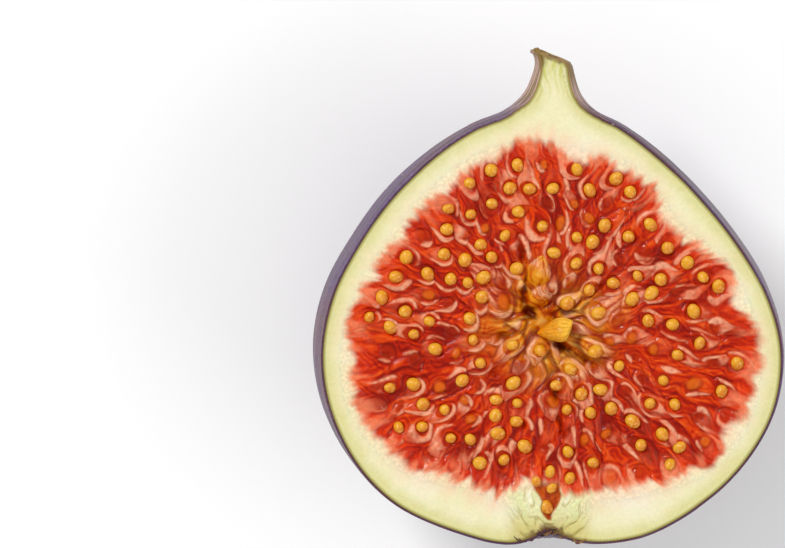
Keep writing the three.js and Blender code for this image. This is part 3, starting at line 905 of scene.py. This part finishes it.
# From below the skin up to the cut's edge, in over the cut face to the pulp, then down in a bowl
# under the pulp to one point
def makeRind():
    columns = len(under)
    turning = stalkFan(np.unwrap(np.arctan2(outline[:, 1], outline[:, 0])))
    edge = pulpBorder(turning)
    goal = np.stack([edge * np.cos(turning), edge * np.sin(turning)], -1)
    share = np.linspace(0, 1, rind["face"])[1:, None, None] ** 0.9
    face = outline + (goal - outline) * share
    face = neckColumns(face, goal, share, np.flatnonzero(outline[:, 1] > rind["neck"]))
    flat = face.reshape(-1, 2)
    fromSkin = distanceTo(flat, outline[::2])
    height, colour = cutFace(flat[:, 0], flat[:, 1], fromSkin)
    height = height * ease(0, 0.8, fromSkin)
    top = np.column_stack([flat, height]).reshape(rind["face"] - 1, columns, 3)
    lastTop = top[-1]
    bowl = []
    for turn in np.linspace(0, 1, rind["bowl"] + 1)[1:] * rind["bowlTurn"]:
        drop = fruit["pulpDepth"] * rind["bowlDepth"] * math.sin(turn)
        bowl.append(np.column_stack([lastTop[:, :2] * math.cos(turn), lastTop[:, 2] - drop]))
    rows = np.concatenate([under.transpose(1, 0, 2), top, np.array(bowl)])
    points = np.concatenate([rows.reshape(-1, 3), [[0, 0, -fruit["pulpDepth"]]]])
    faces = gridFaces(len(rows), columns, loop=True)
    last = len(rows) * columns
    ring = last - columns + np.arange(columns)
    cap = np.column_stack([ring, np.roll(ring, -1), np.full(columns, last)])
    material = fleshMaterial("rindFlesh", 0.5, 0.03, 0.03)
    piece = makePiece("rind", points, [faces, cap], material, "rind", sharpAngle=40)
    shades = np.tile(flesh["straw"], (len(points), 1))
    start = rind["under"] * columns
    shades[start - columns : start] = flesh["olive"]
    tipColumns = np.arange(rind["places"] - 6, rind["places"] + rind["tipColumns"] + 6)
    mottle = layeredNoise(tipColumns / 3.1, np.arange(rind["under"])[:, None] / 1.5, 93, 2)
    end = blend(flesh["bark"], flesh["brokenEnd"], ease(-0.5, 0.3, mottle))
    shades[:start].reshape(rind["under"], columns, 3)[:, tipColumns] = end
    shades[start : start + len(flat)] = colour
    paint(piece, "flesh", shades)
    return piece


# Colour painted on the mesh, a little grain, light that spreads under the surface and a wet coat
def fleshMaterial(name, roughness, coat, contrast):
    material, nodes, links, shader = startMaterial(name)
    space = nodes.new("ShaderNodeTexCoord").outputs["Object"]
    grain = noiseNode(nodes, links, space, 2600, 3, 0.6)
    colour = readAttribute(nodes, "flesh").outputs["Color"]
    shade = rangeNode(nodes, links, grain, 0.3, 0.7, 1 - contrast, 1 + contrast)
    bright = nodes.new("ShaderNodeVectorMath")
    bright.operation = "SCALE"
    links.new(colour, bright.inputs[0])
    links.new(shade, bright.inputs["Scale"])
    links.new(bright.outputs["Vector"], shader.inputs["Base Color"])
    rough = rangeNode(nodes, links, grain, 0.3, 0.7, roughness - 0.07, roughness + 0.09)
    links.new(rough, shader.inputs["Roughness"])
    shader.inputs["Subsurface Weight"].default_value = 0.25
    shader.inputs["Subsurface Radius"].default_value = (1.0, 0.45, 0.25)
    shader.inputs["Subsurface Scale"].default_value = 0.0006
    shader.inputs["Specular IOR Level"].default_value = 0.04
    shader.inputs["Coat Weight"].default_value = coat
    shader.inputs["Coat Roughness"].default_value = 0.06
    links.new(bumpNode(nodes, links, grain, 0.25, 0.00008).outputs["Normal"], shader.inputs["Normal"])
    return material


# Pulp: four quarters of one fine surface
pulp = {
    "steps": 236,  # along each side of a quarter
    "nearSkin": 17.5,  # the skin can't be near a point that is nearer the middle than this
    "drop": 5,  # foot of the walls under the border
    "depth": 12,  # point at which the underside closes
    "quarters": {
        "pulpStalkRight": (1, 1),
        "pulpStalkLeft": (-1, 1),
        "pulpEyeRight": (1, -1),
        "pulpEyeLeft": (-1, -1),
    },
}


# A square of a, b from -1 to 1 drawn onto a disc, then stretched to the border at each angle
def discPoints(a, b):
    u, v = a * np.sqrt(1 - b * b / 2), b * np.sqrt(1 - a * a / 2)
    angle = np.arctan2(v, u)
    reach = pulpBorder(angle)
    return u * reach, v * reach


# Heights averaged with their neighbours, once each way, with weights 1, 2, 1
def softened(height):
    for axis in (0, 1):
        height = (np.roll(height, 1, axis) + 2 * height + np.roll(height, -1, axis)) / 4
    return height


# The cut face's height over a quarter of the disc, with walls down from its border and under it a
# fan to one point; the normals come from a grid two steps wider, so that no seam shows
def makePulpQuarter(name, signA, signB, material):
    steps = pulp["steps"]
    line = np.arange(-2, steps + 3) / steps
    a, b = np.meshgrid(line * signA, line * signB, indexing="ij")
    x, y = discPoints(a, b)
    flat = np.column_stack([x.ravel(), y.ravel()])
    fromSkin = np.full(len(flat), farFromSkin)
    away = np.flatnonzero(np.hypot(*flat.T) > pulp["nearSkin"])
    fromSkin[away] = distanceTo(flat[away], outline[::2])
    height, colour = cutFace(flat[:, 0], flat[:, 1], fromSkin)
    height = height * ease(0, 0.8, fromSkin)
    grid = np.dstack([x, y, softened(height.reshape(a.shape))])
    slopeA, slopeB = np.gradient(grid, axis=0), np.gradient(grid, axis=1)
    normal = np.cross(slopeA, slopeB)
    normal *= np.sign(normal[..., 2:])
    normal /= np.linalg.norm(normal, axis=-1, keepdims=True)
    crop = (slice(2, -2), slice(2, -2))
    grid, normal, colour = grid[crop], normal[crop], colour.reshape(*a.shape, 3)[crop]
    side = grid.shape[0]
    index = np.arange(side * side).reshape(side, side)
    border = np.concatenate([index[0, :-1], index[:-1, -1], index[-1, :0:-1], index[:0:-1, 0]])
    foot = grid.reshape(-1, 3)[border]
    foot[:, 2] = -pulp["drop"]
    pole = grid.reshape(-1, 3).mean(0)
    pole[2] = -pulp["depth"]
    points = np.vstack([grid.reshape(-1, 3), foot, pole])
    ring = side * side + np.arange(len(border))
    walls = np.column_stack([np.roll(border, -1), border, ring, np.roll(ring, -1)])
    fan = np.column_stack([np.roll(ring, -1), ring, np.full(len(ring), len(points) - 1)])
    faces = [gridFaces(side, side), walls, fan]
    hidden = np.tile([0, 0, -1], (len(ring) + 1, 1))
    normals = np.vstack([normal.reshape(-1, 3), hidden])
    piece = makePiece(name, points, faces, material, "pulp", normals=normals)
    shades = np.vstack([colour.reshape(-1, 3), np.tile(flesh["red"], (len(hidden), 1))])
    paint(piece, "flesh", np.clip(shades, 0, 1))
    return piece


# Seeds: small pointed ovals, one mesh
seeds = {
    "sides": 12,
    "rings": 7,
    "inChannel": [(-1.5, -17.9), (0.35, -18.7), (-0.35, -21.0)],  # the ones near the eye
    "gold": tint(226, 158, 20),
    "pale": tint(242, 200, 96),
    "amber": tint(206, 112, 8),
}


# Amber on one side and gold on the other by a tone that holds painted light: gold on each seed's upper
# left, painted shade in amber on its lower right; with a paler grain and a wet coat
def seedMaterial():
    material, nodes, links, shader = startMaterial("seedHusk")
    space = nodes.new("ShaderNodeTexCoord").outputs["Object"]
    grain = noiseNode(nodes, links, space, 3200, 2)
    tone = rangeNode(nodes, links, readAttribute(nodes, "tone").outputs["Fac"], 0, 1)
    colour = mixNode(nodes, links, tone, seeds["amber"], seeds["gold"])
    pale = rangeNode(nodes, links, grain, 0.42, 0.75, 0, 0.6)
    colour = mixNode(nodes, links, pale, colour, seeds["pale"])
    links.new(colour, shader.inputs["Base Color"])
    shader.inputs["Roughness"].default_value = 0.36
    shader.inputs["Specular IOR Level"].default_value = 0.3
    shader.inputs["Subsurface Weight"].default_value = 0.2
    shader.inputs["Subsurface Radius"].default_value = (1.0, 0.6, 0.2)
    shader.inputs["Subsurface Scale"].default_value = 0.0004
    shader.inputs["Coat Weight"].default_value = 0.14
    shader.inputs["Coat Roughness"].default_value = 0.16
    return material


# Unit oval with a blunt point: rings round its long axis, radius the sine of the polar angle
def ovalShape(rings, sides, stretch, point):
    polar = np.linspace(0, np.pi, rings + 2)[1:-1]
    turns = np.linspace(0, 2 * np.pi, sides, endpoint=False)
    v, u = np.meshgrid(polar, turns, indexing="ij")
    length = np.cos(v) * (stretch + point * np.cos(v))
    shape = np.stack([np.sin(v) * np.cos(u), np.sin(v) * np.sin(u), length], -1)
    shape = np.vstack([shape.reshape(-1, 3), [[0, 0, stretch + point], [0, 0, point - stretch]]])
    ring = np.arange(sides)
    after = np.roll(ring, -1)
    base = (rings - 1) * sides
    top = np.column_stack([ring, after, np.full(sides, rings * sides)])
    foot = np.column_stack([base + after, base + ring, np.full(sides, rings * sides + 1)])
    return shape, gridFaces(rings, sides, loop=True)[:, ::-1], np.vstack([top, foot])


# Turn by spin about Z after leaning by lean about X
def turned(lean, spin):
    cos, sin = math.cos(lean), math.sin(lean)
    tilt = np.array([[1, 0, 0], [0, cos, -sin], [0, sin, cos]])
    cos, sin = math.cos(spin), math.sin(spin)
    turn = np.array([[cos, -sin, 0], [sin, cos, 0], [0, 0, 1]])
    return (turn @ tilt).T


# An oval in each socket that shows its seed, a little sunk in, lying over by a random lean
def makeSeeds():
    random = np.random.default_rng(17)
    shown = places["kind"] == "seed"
    turn = places["turn"][shown]
    offset = -florets["offset"] * places["side"][shown]
    patternX = places["x"][shown] - np.sin(turn) * offset
    patternY = places["y"][shown] + np.cos(turn) * offset
    x, y = facePlace(patternX, patternY)
    x, y = np.concatenate([[x, y], np.transpose(seeds["inChannel"])], axis=1)
    height, _ = cutFace(x, y, np.full(len(x), farFromSkin))
    shape, quads, caps = ovalShape(seeds["rings"], seeds["sides"], 1.08, 0.09)
    points, quadList, capList, tonesWithPaintedLight = [], [], [], []
    for n in range(len(x)):
        size = florets["seed"] * random.uniform(0.76, 1.1)
        centre = np.array([x[n], y[n], height[n] - 0.04])
        oval = shape * (size, size, size * random.uniform(0.95, 1.2))
        oval = oval @ turned(random.uniform(0.8, 1.5), random.uniform(0, 2 * np.pi)) * (1, 1, 0.8)
        points.append(oval + centre)
        quadList.append(quads + n * len(shape))
        capList.append(caps + n * len(shape))
        # A random tone plus painted light: higher on the seed's upper left side, lower on its lower right
        # as painted shade
        tonesWithPaintedLight.append(random.uniform(0.3, 0.8) + 0.5 * (oval[:, 1] - oval[:, 0]) / size)
    faces = [np.concatenate(quadList), np.concatenate(capList)]
    piece = makePiece("seeds", np.concatenate(points), faces, seedMaterial(), "pulp")
    paint(piece, "tone", np.concatenate(tonesWithPaintedLight))
    return piece


# The ripe floret that stands free in the open middle: a wedge with a slanted, blunt end
middlePod = {
    "place": (0.85, -0.15, 0.2),
    "radius": 1.34,
    "stretch": 1.75,  # half its length, in radii
    "lean": 1.4,
    "spin": 1.7,
    "facets": 0.08,  # depth of its three flat sides
    "grooves": 16,
    "tip": tint(212, 124, 4),
    "end": tint(240, 188, 66),
    "line": tint(186, 96, 0),
}


# An oval that widens along its length and has three flat sides and fine grooves; past the slanted
# plane its length shrinks to a quarter
def makeMiddlePod():
    shape, quads, caps = ovalShape(60, 64, middlePod["stretch"], 0)
    turn = np.arctan2(shape[:, 1], shape[:, 0])
    along = shape[:, 2] / middlePod["stretch"]
    grooves = np.cos(middlePod["grooves"] * turn)
    ribs = 1 + 0.015 * grooves + middlePod["facets"] * np.cos(3 * turn + 0.6)
    ribs = ribs + 0.05 * layeredNoise(np.cos(turn) * 2, shape[:, 2] * 2, 91)
    shape[:, :2] *= (ribs * (1 + 0.42 * along - 0.14 * along**2))[:, None]
    shape[:, 1] *= 0.85
    slanted = 0.6 * middlePod["stretch"] + 0.6 * shape[:, 0]
    shape[:, 2] = np.where(shape[:, 2] > slanted, slanted + 0.25 * (shape[:, 2] - slanted), shape[:, 2])
    lie = turned(middlePod["lean"], middlePod["spin"])
    points = shape * middlePod["radius"] @ lie + middlePod["place"]
    material = fleshMaterial("podFlesh", 0.42, 0.06, 0.16)
    piece = makePiece("middlePod", points, [quads, caps], material, "pulp")
    # Paler towards the blunt end: the pod's own paling, with a painted highlight there
    pale = ease(-0.9, 0.9, along + 0.4 * layeredNoise(turn, along * 3, 92))
    colour = blend(middlePod["tip"], middlePod["end"], pale)
    colour = blend(colour, middlePod["line"], ease(0.5, 1, grooves) * 0.4)
    paint(piece, "flesh", colour)
    return piece


# Dry dark scales that the torn skin leaves round the eye, one mesh
eyeScales = {
    "count": 44,
    "halfWidth": 3.6,  # of the place that they cover
    "radius": (0.25, 0.6),
    "thickness": 0.07,
    "rings": 6,
    "sides": 14,
}


# Each scale is dark or olive by its own shade, with a wine red grain
def scaleMaterial():
    material, nodes, links, shader = startMaterial("dryScale")
    space = nodes.new("ShaderNodeTexCoord").outputs["Object"]
    grain = noiseNode(nodes, links, space, 1500, 3)
    shade = rangeNode(nodes, links, readAttribute(nodes, "shade").outputs["Fac"], 0.3, 0.8)
    colour = mixNode(nodes, links, shade, skin["night"], skin["stalkEdge"])
    reddish = rangeNode(nodes, links, grain, 0.4, 0.65)
    colour = mixNode(nodes, links, reddish, colour, skin["wine"])
    links.new(colour, shader.inputs["Base Color"])
    shader.inputs["Roughness"].default_value = 0.6
    return material


# Flat ovals, bowed by the square of their width, at random along the eye's edge
def makeEyeScales():
    random = np.random.default_rng(29)
    shape, quads, caps = ovalShape(eyeScales["rings"], eyeScales["sides"], 1, 0.25)
    points, quadList, capList = [], [], []
    edge = outline[outline[:, 1] < -20]
    edge = edge[np.argsort(edge[:, 0])]
    for n in range(eyeScales["count"]):
        across = random.uniform(-1, 1) * eyeScales["halfWidth"]
        size = random.uniform(*eyeScales["radius"])
        scale = shape * (size * 1.6, eyeScales["thickness"], size)
        scale[:, 1] += 0.4 * scale[:, 0] ** 2
        y = np.interp(across, edge[:, 0], edge[:, 1]) + random.uniform(-0.3, 0.2)
        centre = np.array([across, y, -random.uniform(0.1, 1.0)])
        points.append(scale @ turned(random.uniform(-0.3, 0.9), random.uniform(-0.6, 0.6)) + centre)
        quadList.append(quads + n * len(shape))
        capList.append(caps + n * len(shape))
    faces = [np.concatenate(quadList), np.concatenate(capList)]
    piece = makePiece("eyeScales", np.concatenate(points), faces, scaleMaterial(), "skin")
    paint(piece, "shade", np.repeat(random.uniform(0, 1, eyeScales["count"]), len(shape)))
    return piece


makeSkin()
makeEyeScales()
print("skin made")
makeRind()
print("rind made")
pulpFlesh = fleshMaterial("pulpFlesh", 0.32, 0.2, 0.1)
for name, (signA, signB) in pulp["quarters"].items():
    makePulpQuarter(name, signA, signB, pulpFlesh)
print("pulp made")
makeSeeds()
makeMiddlePod()
print("seeds made")


# Floor, light and camera
studio = {
    "floorHalf": 1.5,
    "floorColour": tint(252, 252, 252),
    "camera": 0.9,  # distance, metres
    "leanBack": 8,  # degrees towards the stalk
    "leanLeft": 2.6,
    "aimLeft": 18.32,  # the fig sits right and low of the picture's middle, mm
    "aimUp": 6.66,
    "pictureWidth": 785,  # pixels
    "pixel": 0.1162,  # mm a pixel at the cut face
    "sky": 0.61,
    "keyPower": 5.2,
    "fillPower": 2,
}


# One pale square at z = 0
def makeFloor():
    half = studio["floorHalf"]
    corners = [(-half, -half, 0), (half, -half, 0), (half, half, 0), (-half, half, 0)]
    mesh = bpy.data.meshes.new("floor")
    mesh.from_pydata(corners, [], [(0, 1, 2, 3)])
    floor = bpy.data.objects.new("floor", mesh)
    bpy.context.scene.collection.objects.link(floor)
    material, nodes, links, shader = startMaterial("paleFloor")
    shader.inputs["Base Color"].default_value = (*studio["floorColour"], 1)
    shader.inputs["Roughness"].default_value = 0.8
    mesh.materials.append(material)


# A square lamp that looks at the fig
def softLight(name, place, size, power):
    data = bpy.data.lights.new(name, "AREA")
    data.size = size
    data.energy = power
    lamp = bpy.data.objects.new(name, data)
    bpy.context.scene.collection.objects.link(lamp)
    lamp.location = place
    look = Vector((0, 0, 0.02)) - Vector(place)
    lamp.rotation_euler = look.to_track_quat("-Z", "Y").to_euler()


# White light from all round, a key light from the upper left and a broad, weak one from the right
def makeStudio():
    world = bpy.data.worlds.new("paleRoom")
    bpy.context.scene.world = world
    world.use_nodes = True
    sky = world.node_tree.nodes["Background"]
    sky.inputs["Color"].default_value = (1, 1, 1, 1)
    sky.inputs["Strength"].default_value = studio["sky"]
    bpy.context.scene.view_settings.view_transform = "Standard"  # colours as painted
    softLight("keyLight", (-0.45, 0.5, 0.75), 0.25, studio["keyPower"])
    softLight("fillLight", (0.7, -0.2, 0.6), 0.7, studio["fillPower"])


# Above the cut face and leaning a little, with a lens that makes the picture as wide as its pixels
def makeCamera():
    aim = (Vector((-studio["aimLeft"], studio["aimUp"], 0)) + Vector(shift)) / 1000
    left, back = math.radians(studio["leanLeft"]), math.radians(studio["leanBack"])
    direction = Vector((-math.sin(left), math.sin(back), math.cos(left) * math.cos(back)))
    direction.normalize()
    data = bpy.data.cameras.new("camera")
    camera = bpy.data.objects.new("camera", data)
    bpy.context.scene.collection.objects.link(camera)
    camera.location = aim + direction * studio["camera"]
    right = Vector((0, 1, 0)).cross(direction).normalized()  # the stalk points up in the picture
    upward = direction.cross(right)
    camera.rotation_euler = Matrix((right, upward, direction)).transposed().to_euler()
    frameWidth = studio["pictureWidth"] * studio["pixel"] / 1000
    data.lens = data.sensor_width * studio["camera"] / frameWidth
    data.clip_start = 0.01
    bpy.context.scene.camera = camera


makeFloor()
makeStudio()
makeCamera()
print("studio made")
